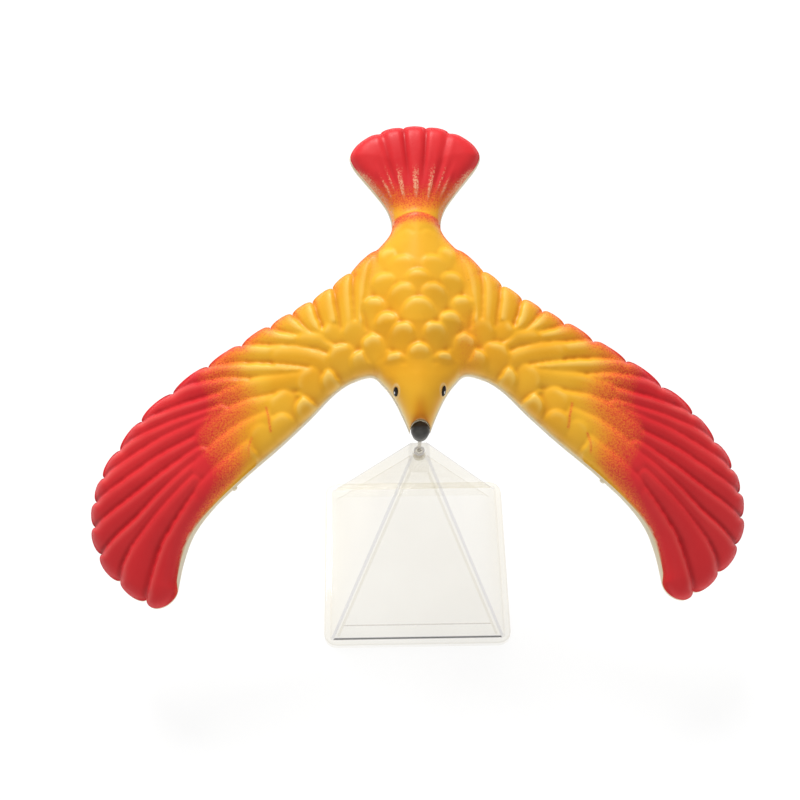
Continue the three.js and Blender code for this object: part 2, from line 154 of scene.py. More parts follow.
# Long coverts: spine from root to tip, radius.
COVERTS = [
    ([(28.5, 1.0), (32.5, -2.2), (36, -4.9), (38.9, -7.7)], 2.4),
    ([(27.5, 4.6), (32, 2.7), (36, 0.1), (39.6, -3.1)], 2.25),
    ([(26.5, 7.6), (31, 7.0), (35, 5.5), (39.2, 2.6)], 2.15),
    ([(21.5, 12.0), (26, 11.5), (30, 11.1), (34.8, 9.7)], 1.95),
]
# Shorter coverts, each just above one flight feather, starting with this one.
FIRST_COVERED = 10
MIDDLE_COVERTS = [
    ([(17, 15), (20.5, 16.2), (25.5, 16.9)], 1.8),
    ([(15, 17.6), (18, 19.2), (21, 19.5)], 1.5),
]

# ---- Drawing helpers -------------------------------------------------------------------


def spline(points, per_span):
    """A smooth line through the points, with so many steps in each span."""
    p = np.array(points, float)
    last = len(p) - 1
    out = []
    for k in range(per_span * last + 1):
        i = min(k // per_span, last - 1)
        f = k / per_span - i
        p0, p1, p2, p3 = p[max(i - 1, 0)], p[i], p[i + 1], p[min(i + 2, last)]
        v0, v1 = (p2 - p0) / 2, (p3 - p1) / 2
        cubic, square = 2 * p1 - 2 * p2 + v0 + v1, -3 * p1 + 3 * p2 - 2 * v0 - v1
        out.append(cubic * f**3 + square * f**2 + v0 * f + p1)
    return np.array(out)


def resample(points, spacing):
    """The same line with about equal steps, its ends kept."""
    p = np.array(points, float)
    run = np.concatenate([[0], np.cumsum(np.linalg.norm(np.diff(p, axis=0), axis=1))])
    count = max(2, int(round(run[-1] / spacing)) + 1)
    at = np.linspace(0, run[-1], count)
    return np.stack([np.interp(at, run, p[:, k]) for k in range(p.shape[1])], axis=1)


def valley(a, b, depth):
    """The notch between two feather tips."""
    along = (b - a) / np.linalg.norm(b - a)
    return (a + b) / 2 + depth * np.array([-along[1], along[0]])


def lobe(start, tip, end):
    """Half an ellipse from start over the tip to end."""
    angle = np.linspace(math.pi, 0, 41)[:, None]
    middle = (start + end) / 2
    return middle + np.cos(angle) * (end - start) / 2 + np.sin(angle) * (tip - middle)


def lobed(start, tips, end, notch):
    """The lobes of a feathered edge, and the valleys between them."""
    tips = [np.array(t, float) for t in tips]
    valleys = [valley(a, b, notch) for a, b in zip(tips, tips[1:])]
    ends = [np.array(start, float), *valleys, np.array(end, float)]
    return [lobe(ends[i], tip, ends[i + 1]) for i, tip in enumerate(tips)], valleys


def leftwards(tangent):
    return np.stack([-tangent[:, 1], tangent[:, 0]], axis=1)


def tangents(line):
    """Unit vectors along the line."""
    tangent = np.gradient(line, axis=0)
    return tangent / np.linalg.norm(tangent, axis=1)[:, None]


def tucked(line, tuck):
    """The line moved inwards by tuck mm, less towards its ends."""
    tangent = tangents(line)
    t = np.linspace(0, 1, len(line))
    share = smoothstep(0, 0.02, t) * smoothstep(1, 0.97, t) * np.interp(line[:, 0], *TUCK_AT)
    return line + leftwards(tangent) * (tuck * share)[:, None]


def half_outline(spacing, tuck):
    """Right half of the outline, nose to tail, the wing's valleys, and the line round its tips."""
    front = tucked(spline([*HEAD_SIDE, *LEADING_EDGE[1:]], 14), tuck)
    tail_side = tucked(spline(TAIL_SIDE, 10), tuck)
    wing, wing_valleys = lobed(front[-1], FEATHER_TIPS, tail_side[0], WING_NOTCH)
    tips = [np.array(t, float) for t in TAIL_TIPS]
    last = valley(tips[-2], tips[-1], TAIL_NOTCH)
    sides, _ = lobed(tail_side[-1], tips[:-1], last, TAIL_NOTCH)
    middle = lobe(last, tips[-1], last * (-1, 1))[:21]
    sections = [front, *wing, tail_side, *sides, middle]
    line = np.vstack([resample(s, spacing)[:-1] for s in sections] + [middle[-1:]])
    wing_end = spline([front[-1], *FEATHER_TIPS, tail_side[0]], 8)
    tail_end = spline([tail_side[-1], *TAIL_TIPS], 8)
    hull = np.vstack([front, wing_end[1:], tail_side[1:], tail_end[1:]])
    return line, wing_valleys, hull


def to_line(points, line):
    """Distance to a polyline, and the side: 1 on its left, -1 on its right."""
    best = np.full(len(points), 1e9)
    side = np.zeros(len(points))
    for a, b in zip(line, line[1:]):
        edge = b - a
        rel = points - a
        share = np.clip((rel @ edge) / (edge @ edge), 0, 1)
        gap = rel - share[:, None] * edge
        d = np.hypot(gap[:, 0], gap[:, 1])
        nearer = d < best
        best[nearer] = d[nearer]
        cross = edge[0] * rel[:, 1] - edge[1] * rel[:, 0]
        side[nearer] = cross[nearer]
    return best, np.where(side >= 0, 1.0, -1.0)


def edge_distance(points, line):
    """Distance to a dense line of points, refined on the two spans beside the nearest point."""
    out = np.empty(len(points))
    for k in range(0, len(points), 2000):
        p = points[k:k + 2000]
        d = (p[:, None, 0] - line[None, :, 0]) ** 2 + (p[:, None, 1] - line[None, :, 1]) ** 2
        i = d.argmin(1)
        best = np.full(len(p), 1e9)
        for a, b in ((np.maximum(i - 1, 0), i), (i, np.minimum(i + 1, len(line) - 1))):
            edge = line[b] - line[a]
            rel = p - line[a]
            share = np.clip((rel * edge).sum(1) / np.maximum((edge * edge).sum(1), 1e-12), 0, 1)
            gap = rel - share[:, None] * edge
            best = np.minimum(best, np.hypot(gap[:, 0], gap[:, 1]))
        out[k:k + 2000] = best
    return out


def inside(points, polygon):
    """Which points lie in the polygon: those with an odd number of edges on their right."""
    x, y = points[:, 0], points[:, 1]
    within = np.zeros(len(points), bool)
    for a, b in zip(polygon, np.roll(polygon, -1, axis=0)):
        if a[1] != b[1]:
            crossing = a[0] + (y - a[1]) / (b[1] - a[1]) * (b[0] - a[0])
            within ^= ((a[1] > y) != (b[1] > y)) & (x < crossing)
    return within


def smoothstep(low, high, x):
    t = np.clip((x - low) / (high - low), 0, 1)
    return t * t * (3 - 2 * t)


# ---- Heights ---------------------------------------------------------------------------


def parting(u, w):
    """Height of the seam: level over the body, drooping towards the wing ends."""
    out = np.maximum(0, np.abs(u) - 8) / 54
    forward = np.maximum(0, -4 - w) / 25
    return ROOT_N - 15 * out**1.6 - 5 * forward**1.4


def rounded(d, reach):
    """A quarter round from the rim inwards, its first step softened."""
    x = np.clip(d / reach, 0, 1)
    return np.sqrt(1 - (1 - x) ** 2) * np.sqrt(1 - np.exp(-d / 0.3))


def fullness(d, hull_d):
    """0 at the rim and 1 inside: a short round at the feather tips on a wide crown."""
    return 0.42 * rounded(d, 2.4) + 0.58 * rounded(np.maximum(hull_d, 0), CROWN_REACH + 0.6)


def hump(u, w):
    """How far the body swells upwards and downwards."""
    over, under, half = (np.interp(w, BODY[:, 0], BODY[:, k]) for k in (1, 2, 3))
    share = 0.5 + 0.5 * np.cos(math.pi * np.minimum(1, np.abs(u) / half))
    return over * share, under * share


def top_n(u, w, d, hull_d):
    return parting(u, w) + UPPER_EDGE + UPPER_CROWN * fullness(d, hull_d) + hump(u, w)[0]


def bottom_n(u, w, d, hull_d):
    return parting(u, w) - LOWER_EDGE - LOWER_CROWN * fullness(d, hull_d) - hump(u, w)[1]


# ---- Relief ----------------------------------------------------------------------------


def capsule(points, spine, radius):
    """Where points lie on a feather along a spine: 0 on the spine to 1 at the rim, the signed
    side, the way back from its tip in mm, and the share of the half width they lie across."""
    spine = np.array(spine, float)
    lengths = np.linalg.norm(np.diff(spine, axis=0), axis=1)
    before = np.concatenate([[0], np.cumsum(lengths)])
    rho = np.full(len(points), 1e9)
    side = np.zeros(len(points))
    along = np.zeros(len(points))
    across = np.zeros(len(points))
    for k, (a, b) in enumerate(zip(spine, spine[1:])):
        edge = (b - a) / lengths[k]
        rel = points - a
        s = rel @ edge
        held = np.clip(s, 0, lengths[k])
        gap = rel - held[:, None] * edge
        r = np.hypot(gap[:, 0], gap[:, 1]) / radius
        nearer = r < rho
        rho[nearer] = r[nearer]
        cross = edge[0] * rel[:, 1] - edge[1] * rel[:, 0]
        side[nearer] = cross[nearer] / radius
        across[nearer] = np.abs(cross[nearer]) / radius
        last = k == len(lengths) - 1
        along[nearer] = (before[k] + (s if last else held))[nearer]
    back = before[-1] + radius - along
    return rho, np.clip(side, -1, 1), np.maximum(back, 0), np.clip(across, 0, 1)


def scale_height(rho, back, across, radius, depth, reach):
    """Highest at the free end, dropping towards the root, with a rounded rim."""
    rim = (1 - rho) * radius
    fall = smoothstep(0, 1, np.clip(back / reach, 0, 1)) * 0.7 + 0.3 * np.clip(back / reach, 0, 1)
    return -depth * fall - 0.16 * across**2 - 0.14 * np.exp(-np.maximum(rim, 0) / 0.25)


def strip_height(rho, side, back, radius, depth, reach):
    """A long feather: its front side low, its rear side high, swelling at the tip."""
    v = (1 + side) / 2
    rim = np.maximum((1 - rho) * radius, 0)
    tilt = (1 - v) ** 1.8 + 0.22 * v**6
    return -depth * tilt - 0.12 * np.clip(back / reach, 0, 1) - 0.22 * np.exp(-rim / 0.3)


def relief(points, wing_valleys):
    """Height of the moulded feathers against the smooth shell, at points with u >= 0."""
    u, w = points[:, 0], points[:, 1]
    ground = -0.42
    h = np.full(len(points), ground)
    free = np.ones(len(points), bool)

    def own(mask, value):
        take = free & mask
        h[take] = value[take]
        free[take] = False

    head = (w < 15.5) & (u < 7.2) & (w < 14.6 + 0.2 * (7 - u))
    head_h = ground * smoothstep(8.5, 14.5, w)

    # Each scale takes only what the ones before it have left free
    for tip_u, tip_w, r, depth, reach in BODY_SCALES:
        length = 1.2 if depth < 0.5 else 2.5
        spine = [(tip_u * 0.95, tip_w - r - length), (tip_u, tip_w - r)]
        for sign in (1, -1) if tip_u else (1,):
            rho, _, back, across = capsule(points * (sign, 1), spine, r)
            in_head = head & (w < tip_w - r - 0.4)
            own((rho < 1) & ~in_head, scale_height(rho, back, across, r, depth, reach))
    own(head, head_h)

    # The rump, one broad scale whose rounded end lies over the root of the tail
    rump = 4.1
    rho, _, back, _ = capsule(points, [(0, 33), (0, 39.0)], rump)
    arcs = np.abs(np.hypot(u - 1.9, w - 38.4) - 1.3) + 3 * np.maximum(0, 38.8 - w)
    rump_h = -0.1 - 0.3 * np.clip(back / 9, 0, 1) - 0.12 * np.exp(-(1 - rho) * rump / 0.3)
    own((rho < 1) & (w > 31), rump_h - 0.13 * np.exp(-((arcs / 0.25) ** 2)))

    for end, start, r in LESSER:
        rho, _, back, across = capsule(points, [start, end], r)
        own((rho < 1) & (u > 7.5), scale_height(rho, back, across, r, 0.7, 5.6) - 0.05)

    for spine, r in COVERTS:
        rho, side, back, _ = capsule(points, spine, r)
        own(rho < 1, strip_height(rho, side, back, r, 0.62, 12))

    # Flight feathers between the lines, the front ones over the ones behind
    lines = [np.vstack([v[None], np.array(inner, float)]) for v, inner in zip(wing_valleys, FLIGHT_LINES)]
    lines = [spline(line, 6) for line in lines] + [np.array(SHOULDER_LINE, float)]
    foot = edge_distance(points, spline(LEADING_EDGE, 30))
    wing = (u > 9.9) | ((u > 7.4) & (w > 27))
    for i, line in enumerate(lines):
        rear, side = to_line(points, line)
        if 0 <= i - FIRST_COVERED < len(MIDDLE_COVERTS):
            spine, r = MIDDLE_COVERTS[i - FIRST_COVERED]
            rho, s, back, _ = capsule(points, spine, r)
            own((rho < 1) & wing, strip_height(rho, s, back, r, 0.5, 9))
        width = foot + rear
        v = foot / np.maximum(width, 1e-6)
        depth = np.clip(0.23 * width, 0.35, 1.1)
        bump = (1 - v) ** 1.8 + 0.16 * v**5
        groove = 0.16 * np.exp(-foot / 0.4) * (i > 0) + 0.14 * np.exp(-rear / 0.35)
        own((side > 0) & wing & (u > FLIGHT_ROOTS[i]), -depth * bump - groove)
        foot = rear

    # Tail: five broad feathers parted by grooves, with fine ribs that fan out from the rump
    root = -0.2 - 0.45 * smoothstep(49, 42.8, w)
    fan = u / np.interp(w, TAIL_HALF[:, 0], TAIL_HALF[:, 1])
    ribs = -0.3 * (0.5 - 0.5 * np.cos(2 * math.pi * TAIL_RIBS * fan))
    ribs = ribs * smoothstep(42.5, 44.5, w) * smoothstep(57, 47, w)
    for depth, width, line in ((0.6, 0.36, TAIL_LINES[0]), (0.3, 0.6, TAIL_LINES[1])):
        d, _ = to_line(points, spline(line, 6))
        ribs = ribs - depth * np.exp(-((d / width) ** 2)) * smoothstep(44, 53, w)
    own(w > 40, root + ribs)
    return h


# ---- Meshes ----------------------------------------------------------------------------


def to_row(points):
    """Bird points (u, w, n) in mm to the row frame in metres."""
    p = np.asarray(points, float)
    c, s = math.cos(TAIL_UP), math.sin(TAIL_UP)
    return np.stack([
        p[:, 0], -CENTRE_Y + p[:, 1] * c - p[:, 2] * s, PIVOT_Z + p[:, 1] * s + p[:, 2] * c,
    ], axis=1) * MM


def stand_mm(points):
    """Points in mm about the pivot's upright axis to the row frame in metres."""
    return (np.asarray(points, float) + (0, -CENTRE_Y, 0)) * MM


def add_mesh(name, verts, faces, material, body, slot, replaces=(), **attributes):
    """A smooth mesh with its float attributes, riding on one of the part's bodies."""
    mesh = bpy.data.meshes.new(name)
    mesh.from_pydata(np.asarray(verts).tolist(), [], [tuple(int(i) for i in f) for f in faces])
    mesh.validate()
    mesh.update()
    for key, values in attributes.items():
        layer = mesh.attributes.new(key, "FLOAT", "POINT")
        layer.data.foreach_set("value", np.asarray(values, np.float32))
    mesh.polygons.foreach_set("use_smooth", [True] * len(mesh.polygons))
    mesh.materials.append(material)
    obj = bpy.data.objects.new(name, mesh)
    SCENE.collection.objects.link(obj)
    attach(obj, body)
    if replaces:
        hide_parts(*replaces)
    return obj


def plan_rim(outline, spacing):
    """The outline of the right half with the beak's hole cut from its front."""
    hole = BEAK_RADIUS + NOSE_GAP
    first = int(np.argmax(np.hypot(outline[:, 0], outline[:, 1] - BEAK_W) > hole))
    start = outline[first] - (0, BEAK_W)
    first_angle = math.atan2(start[1], start[0])
    steps = max(4, int(hole * (math.pi / 2 - first_angle) / spacing))
    angle = np.linspace(math.pi / 2, first_angle, steps)
    nose = np.stack([hole * np.cos(angle), BEAK_W + hole * np.sin(angle)], axis=1)[:-1]
    return np.vstack([nose, outline[first:]])


def grid_points(spacing, polygon, rim):
    """Rows of points inside the polygon, every other row shifted by half a step."""
    step = spacing * math.sqrt(3) / 2
    low, high = polygon.min(0), polygon.max(0)
    rows = []
    for j in range(int((high[1] - low[1]) / step) + 1):
        offset = spacing / 2 if j % 2 else 0
        us = np.arange(spacing + offset, high[0], spacing)
        rows.append(np.stack([us, np.full(len(us), low[1] + j * step)], axis=1))
    grid = np.vstack(rows)
    grid = grid[inside(grid, polygon)]
    return grid[edge_distance(grid, rim) > 0.75 * spacing]


def plan_mesh(spacing, tuck):
    """Triangles over the right half of the plan, its rim going round the beak and the outline."""
    outline, wing_valleys, hull = half_outline(spacing, tuck)
    rim = plan_rim(outline, spacing)
    inward = leftwards(tangents(rim))
    length = rim[-1, 1] - rim[0, 1]
    axis = np.array([(0, y) for y in np.linspace(rim[-1, 1], rim[0, 1], int(length / spacing))[1:-1]])
    polygon = np.vstack([rim, axis])
    near = rim[1:-1] + inward[1:-1] * 0.12
    near = near[inside(near, polygon)]
    near = near[(edge_distance(near, rim) > 0.1) & (near[:, 0] > 0.1)]
    points = [Vector(p) for p in np.vstack([polygon, near, grid_points(spacing, polygon, rim)])]
    made = delaunay_2d_cdt(points, [], [list(range(len(polygon)))], 1, 1e-6, False)
    verts = np.array([(v[0], v[1]) for v in made[0]])
    faces = np.array([f for f in made[2] if len(f) == 3])
    faces = faces[inside(verts[faces].mean(1), polygon)]
    one, two = verts[faces[:, 1]] - verts[faces[:, 0]], verts[faces[:, 2]] - verts[faces[:, 0]]
    clockwise = one[:, 0] * two[:, 1] - one[:, 1] * two[:, 0] < 0
    faces[clockwise] = faces[clockwise][:, ::-1]
    rim_index = np.array([int(((verts - p) ** 2).sum(1).argmin()) for p in rim])
    return SimpleNamespace(
        verts=verts, faces=faces, rim=rim, rim_index=rim_index, inward=inward,
        outline=outline, hull=hull, wing_valleys=wing_valleys,
    )


def smoothed(values, faces, times):
    """Each time, every point moves half way to the mean of its neighbours."""
    count = len(values)
    a, b = np.vstack([faces[:, [0, 1]], faces[:, [1, 2]], faces[:, [2, 0]]]).T
    weight = np.bincount(a, minlength=count) + np.bincount(b, minlength=count)
    for _ in range(times):
        total = np.bincount(a, values[b], count) + np.bincount(b, values[a], count)
        values = 0.5 * values + 0.5 * total / np.maximum(weight, 1)
    return values


def mirrored(verts, faces):
    """Both halves as one mesh, and which points were copied: those with u = 0 are shared."""
    copied = np.abs(verts[:, 0]) >= 1e-6
    other = np.arange(len(verts))
    other[copied] = len(verts) + np.arange(copied.sum())
    whole = np.vstack([verts, verts[copied] * (-1, 1, 1)])
    return whole, faces + [tuple(int(other[i]) for i in reversed(f)) for f in faces], copied


def moulded_face(plan, top):
    """Each point's height, how far it stands proud (the material turns this into painted shade and
    painted highlight), and its distance to the rim.
    """
    u, w = plan.verts[:, 0], plan.verts[:, 1]
    d = edge_distance(plan.verts, plan.outline)
    hull_d = edge_distance(plan.verts, plan.hull) - 0.05
    base = parting(u, w)
    raised = np.maximum(smoothed(RELIEF * relief(plan.verts, plan.wing_valleys), plan.faces, 7), DEEPEST)
    proud = smoothed(raised, plan.faces, 3) - smoothed(raised, plan.faces, 36)
    if not top:
        n = smoothed(bottom_n(u, w, d, hull_d), plan.faces, 3)
        return np.minimum(n - LOWER_RELIEF * raised * (u > 12), base - 0.5), proud, d
    from_beak = np.hypot(u, w - BEAK_W) - BEAK_RADIUS
    # Painted shade in a ring round the beak's dome and down the middle of the nose; lighter along the
    # front edges
    proud -= 0.26 * np.exp(-from_beak / 0.5)
    proud -= 0.24 * np.exp(-((u / 1.5) ** 2)) * smoothstep(11, 5, w)
    proud += 0.22 * np.exp(-d / 0.45) * (w < np.interp(u, *FRONT_HALF))
    n = smoothed(top_n(u, w, d, hull_d), plan.faces, 3)
    return np.maximum(n + raised, np.minimum(n, base + 0.75 + 0.2 * np.minimum(d, 1))), proud, d


def shell(name, spacing, tuck, inset, top, material, slot, replaces):
    """One moulding of the bird: its face, its wall down to the seam, and a lip turned inwards."""
    plan = plan_mesh(spacing, tuck)
    n, proud, d = moulded_face(plan, top)
    rim = plan.rim

    # The lip is narrow beside the nose, where there is little room
    from_beak = np.hypot(rim[:, 0], rim[:, 1] - BEAK_W)
    prong = rim[np.argmax(from_beak > BEAK_RADIUS + NOSE_GAP + 1e-6)]
    room = np.clip(np.hypot(*(rim - prong).T) * 0.22, 0.02, 1)[:, None]
    seam_n = parting(rim[:, 0], rim[:, 1]) + (SEAM if top else -SEAM)
    middle_n = 0.5 * (n[plan.rim_index] + seam_n)
    parts = [np.column_stack([plan.verts, n])]
    rows = [plan.rim_index]
    for shift, height in ((0, middle_n), (0.06, seam_n), (LIP, seam_n)):
        moved = rim + plan.inward * shift * room
        moved[:, 0] = np.maximum(moved[:, 0], 0)
        moved[[0, -1], 0] = 0
        rows.append(len(n) + (len(parts) - 1) * len(rim) + np.arange(len(rim)))
        parts.append(np.column_stack([moved, height]))
    verts = np.vstack(parts)
    faces = [tuple(f) for f in plan.faces.tolist()]
    for upper, lower in zip(rows, rows[1:]):
        for k in range(len(rim) - 1):
            faces.append((upper[k], lower[k], lower[k + 1], upper[k + 1]))
    if not top:
        faces = [f[::-1] for f in faces]

    added = (0, len(verts) - len(n))
    height = verts[:, 2] - parting(verts[:, 0], verts[:, 1])
    looks = np.column_stack([np.pad(proud, added), np.pad(d, added), height])
    verts, faces, copied = mirrored(verts, faces)
    proud, d, height = np.vstack([looks, looks[copied]]).T
    paint = {"shade_and_highlight": proud}
    if top:
        u, w = verts[:, 0], verts[:, 1]
        paint["red"] = red_spray_and_rim_shadow(u, w, d)
        paint["cream"] = cream_paint(u, w, d, proud)
        paint["bare"] = bare_edge(u, w, d, height)
    verts[:, 0] *= 1 - inset / HALF_SPAN
    verts[:, 1] = MIDDLE_W + (verts[:, 1] - MIDDLE_W) * (1 - inset / HALF_LENGTH)
    return add_mesh(name, to_row(verts), faces, material, "bird", slot, replaces=replaces, **paint)


# ---- Paint -----------------------------------------------------------------------------

FRONT_HALF = [(7, 9, 20, 30, 40, 50, 60), (24, 24, 16, 9, 2, -9, -22)]  # the wing's middle line
# Short pinkish lines of painted shadow along the rims of two small coverts on each wing.
RIM_SHADOW_LINES = [[(27.2, 3.0), (27.5, 5.3), (28.0, 7.4)], [(30.7, 1.9), (31.3, 0.3), (31.3, -1.5)]]


def red_spray_and_rim_shadow(u, w, d):
    """How much red was sprayed: full on the wing ends and the tail, a little on feather tips; also short
    lines of painted shadow at covert rims.
    """
    a = np.abs(u)
    front = w < np.interp(a, *FRONT_HALF)
    side = np.where(u < 0, 0.6, -0.4)  # the left wing was sprayed slightly further in
    start = 27.0 - side + 0.12 * np.clip(w, -20, 8) + 1.25 * np.sin(0.45 * w + 0.8)
    start = start + np.where(front, 3.4 * np.exp(-d / 1.6), 0)
    wing = np.clip((a - start) / 13.5, 0, 1) ** 1.15
    wing = wing - np.where(front & (a < 47), 0.5 * np.exp(-d / 0.55), 0) * smoothstep(48, 40, a)
    strength = np.interp(a, [8, 12, 18, 26, 32, 38], [0.55, 0.3, 0.26, 0.5, 0.72, 0.95])
    tips = np.where(~front & (a > 7), strength * np.exp(-d / 2.0), 0)
    tail = smoothstep(40.5, 49.5, w - 0.02 * a**2)
    past = w - 42.7 + 0.06 * a**2
    step = 0.62 * np.exp(-((past / np.where(past < 0, 1.7, 0.4)) ** 2))
    tail = np.maximum(tail, np.where(a < 6, step, 0))
    waist = np.where((w > 33) & (w < 46), 0.5 * np.exp(-d / 0.8), 0)
    root = 0.2 * np.exp(-((a - 9) ** 2) / 9 - ((w - 18) ** 2) / 60) * np.where(u > 0, 1, 0.3)
    rim_shadow = np.zeros_like(a)
    # Painted shadow at the covert rims, put in as a little red
    for line in RIM_SHADOW_LINES:
        near, _ = to_line(np.column_stack([a, w]), np.array(line, float))
        rim_shadow = np.maximum(rim_shadow, 0.36 * np.exp(-((near / 0.35) ** 2)))
    return np.clip(np.maximum.reduce([wing, tips, tail, waist, root, rim_shadow]), 0, 1)


def cream_paint(u, w, d, proud):
    """Where the ivory plastic shows through: the ribs near the tail's root and the tail's sides."""
    ribs = smoothstep(-0.03, 0.08, proud) * smoothstep(42.8, 44.5, w) * smoothstep(56, 46, w) * 0.8
    flank = (w > 41) & (w < 53.5) & (np.abs(u) > 4)
    sides = np.where(flank, np.exp(-d / 0.9), 0) * smoothstep(54, 50, w)
    return np.clip(np.maximum(ribs, sides), 0, 1)


def bare_edge(u, w, d, height):
    """Where the paint stops short of the seam on edges and flanks, paler along the front edges, and round
    the eyes.
    """
    a = np.abs(u)
    leading = (w < 12.9 - 0.2 * a) | (w < 12.9) & (a < 9) | (w < -8) & (a < 46)
    flank = (w > 38) & (w < 53) & (a < 11.4)
    reach = np.where(flank, 0.5, 0.12)
    reach = np.where(leading, np.interp(a, [5, 20, 30, 44, 50], [0.28, 0.3, 0.42, 0.62, 0.2]), reach)
    edge = np.where(d < 0.3, smoothstep(0.12, -0.12, height - reach * 1.3), 0)
    # Paler along the front edges
    pale_front_strip = (a < 30) & (w < np.interp(a, *FRONT_HALF)) & (w > -6)
    from_eye = np.hypot((a - EYE_AT[0]) / EYE_RADII[0], (w - EYE_AT[1]) / EYE_RADII[1])
    ring = 0.45 * np.exp(-(((from_eye - 1.12) / 0.24) ** 2))
    return np.maximum.reduce([edge, np.where(pale_front_strip, 0.62 * np.exp(-d / 0.32), 0), ring])


# ---- Materials -------------------------------------------------------------------------


class Nodes:
    """Small helper that adds nodes to a new material and links them."""

    def __init__(self, name):
        self.material = bpy.data.materials.new(name)
        self.material.use_nodes = True
        self.tree = self.material.node_tree
        self.shader = self.tree.nodes["Principled BSDF"]

    def add(self, kind, inputs=(), **settings):
        node = self.tree.nodes.new(kind)
        for key, value in settings.items():
            setattr(node, key, value)
        for key, value in dict(inputs).items():
            if isinstance(value, bpy.types.NodeSocket):
                self.tree.links.new(value, node.inputs[key])
            else:
                node.inputs[key].default_value = value
        return node

    def place(self):
        return self.add("ShaderNodeTexCoord").outputs["Object"]

    def noise(self, scale, detail=2.0, roughness=0.5):
        return self.add("ShaderNodeTexNoise", {
            "Vector": self.place(), "Scale": scale, "Detail": detail, "Roughness": roughness,
        }).outputs["Fac"]

    def remap(self, value, low, high, to_low=0.0, to_high=1.0, smooth=True):
        return self.add("ShaderNodeMapRange", {
            "Value": value, "From Min": low, "From Max": high, "To Min": to_low, "To Max": to_high,
        }, interpolation_type="SMOOTHSTEP" if smooth else "LINEAR").outputs["Result"]

    def math(self, operation, a, b):
        return self.add("ShaderNodeMath", {0: a, 1: b}, operation=operation).outputs[0]

    def mix(self, factor, a, b):
        node = self.add("ShaderNodeMix", data_type="RGBA", blend_type="MIX")
        for index, value in ((0, factor), (6, a), (7, b)):
            if isinstance(value, bpy.types.NodeSocket):
                self.tree.links.new(value, node.inputs[index])
            else:
                node.inputs[index].default_value = value
        return node.outputs[2]

    def attribute(self, name):
        return self.add("ShaderNodeAttribute", attribute_name=name).outputs["Fac"]

    def set(self, **sockets):
        for key, value in sockets.items():
            socket = self.shader.inputs[key.replace("_", " ")]
            if isinstance(value, bpy.types.NodeSocket):
                self.tree.links.new(value, socket)
            else:
                socket.default_value = value

    def bump(self, height, strength, distance):
        node = self.add("ShaderNodeBump", {"Height": height, "Strength": strength, "Distance": distance})
        self.tree.links.new(node.outputs["Normal"], self.shader.inputs["Normal"])


def rgb(r, g, b):
    """An sRGB colour as linear light."""
    linear = [x / 255 / 12.92 if x <= 10 else ((x / 255 + 0.055) / 1.055) ** 2.4 for x in (r, g, b)]
    return (*linear, 1.0)


def painted_material():
    """Yellow over ivory plastic with red sprayed on in fine drops, with painted shade in the grooves and
    painted highlight on the crests.
    """
    m = Nodes("sprayed_paint")
    red, shade_and_highlight, bare = m.attribute("red"), m.attribute("shade_and_highlight"), m.attribute("bare")
    cream = m.attribute("cream")
    fine = m.noise(3600, 1.0, 0.6)
    medium = m.noise(900, 2.0)
    broad = m.noise(90, 2.0)
    yellow = m.mix(m.remap(broad, 0.35, 0.65), rgb(244, 182, 46), rgb(238, 170, 34))
    # Painted shade in the grooves and painted highlight on the crests of the yellow
    yellow = m.mix(m.remap(shade_and_highlight, 0.0, -0.34), yellow, rgb(206, 124, 6))
    yellow = m.mix(m.remap(shade_and_highlight, 0.03, 0.18, 0.0, 0.75), yellow, rgb(252, 206, 100))
    warm = m.remap(red, 0.04, 0.55)
    ground = m.mix(m.math("MULTIPLY", warm, 0.9), yellow, rgb(244, 128, 44))
    deep = m.mix(m.remap(broad, 0.3, 0.7), rgb(214, 38, 44), rgb(222, 46, 50))
    # The same painted shade and painted highlight on the red
    deep = m.mix(m.remap(shade_and_highlight, 0.0, -0.32), deep, rgb(176, 12, 22))
    deep = m.mix(m.remap(shade_and_highlight, 0.05, 0.26, 0.0, 0.45), deep, rgb(236, 96, 90))
    grain = m.math("SUBTRACT", m.remap(fine, 0.3, 0.7, smooth=False), 0.5)
    window = m.math("MULTIPLY", m.math("MULTIPLY", red, m.math("SUBTRACT", 1.0, red)), 3.3)
    spray = m.math("ADD", m.remap(red, 0.2, 1.0, smooth=False), m.math("MULTIPLY", grain, window))
    spray = m.remap(spray, 0.05, 0.98, smooth=False)
    colour = m.mix(spray, ground, deep)
    cream_spray = m.math("ADD", cream, m.math("MULTIPLY", grain, m.math("MULTIPLY", cream, 1.1)))
    colour = m.mix(m.remap(cream_spray, 0.25, 0.9, 0.0, 0.85), colour, rgb(243, 184, 142))
    specks = m.add("ShaderNodeTexVoronoi", {"Vector": m.place(), "Scale": 210.0, "Randomness": 1.0})
    rare = m.add("ShaderNodeSeparateColor", {"Color": specks.outputs["Color"]}).outputs[0]
    dot = m.math("MULTIPLY", m.remap(specks.outputs["Distance"], 0.075, 0.045), m.remap(rare, 0.93, 0.94))
    colour = m.mix(m.math("MULTIPLY", dot, 0.6), colour, rgb(92, 58, 20))
    colour = m.mix(bare, colour, rgb(252, 238, 196))
    rough = m.remap(medium, 0.3, 0.7, 0.4, 0.52)
    m.set(Base_Color=colour, Roughness=rough, Specular_IOR_Level=0.24)
    m.bump(m.math("ADD", m.math("MULTIPLY", spray, 0.5), fine), 0.22, 0.00004)
    return m.material


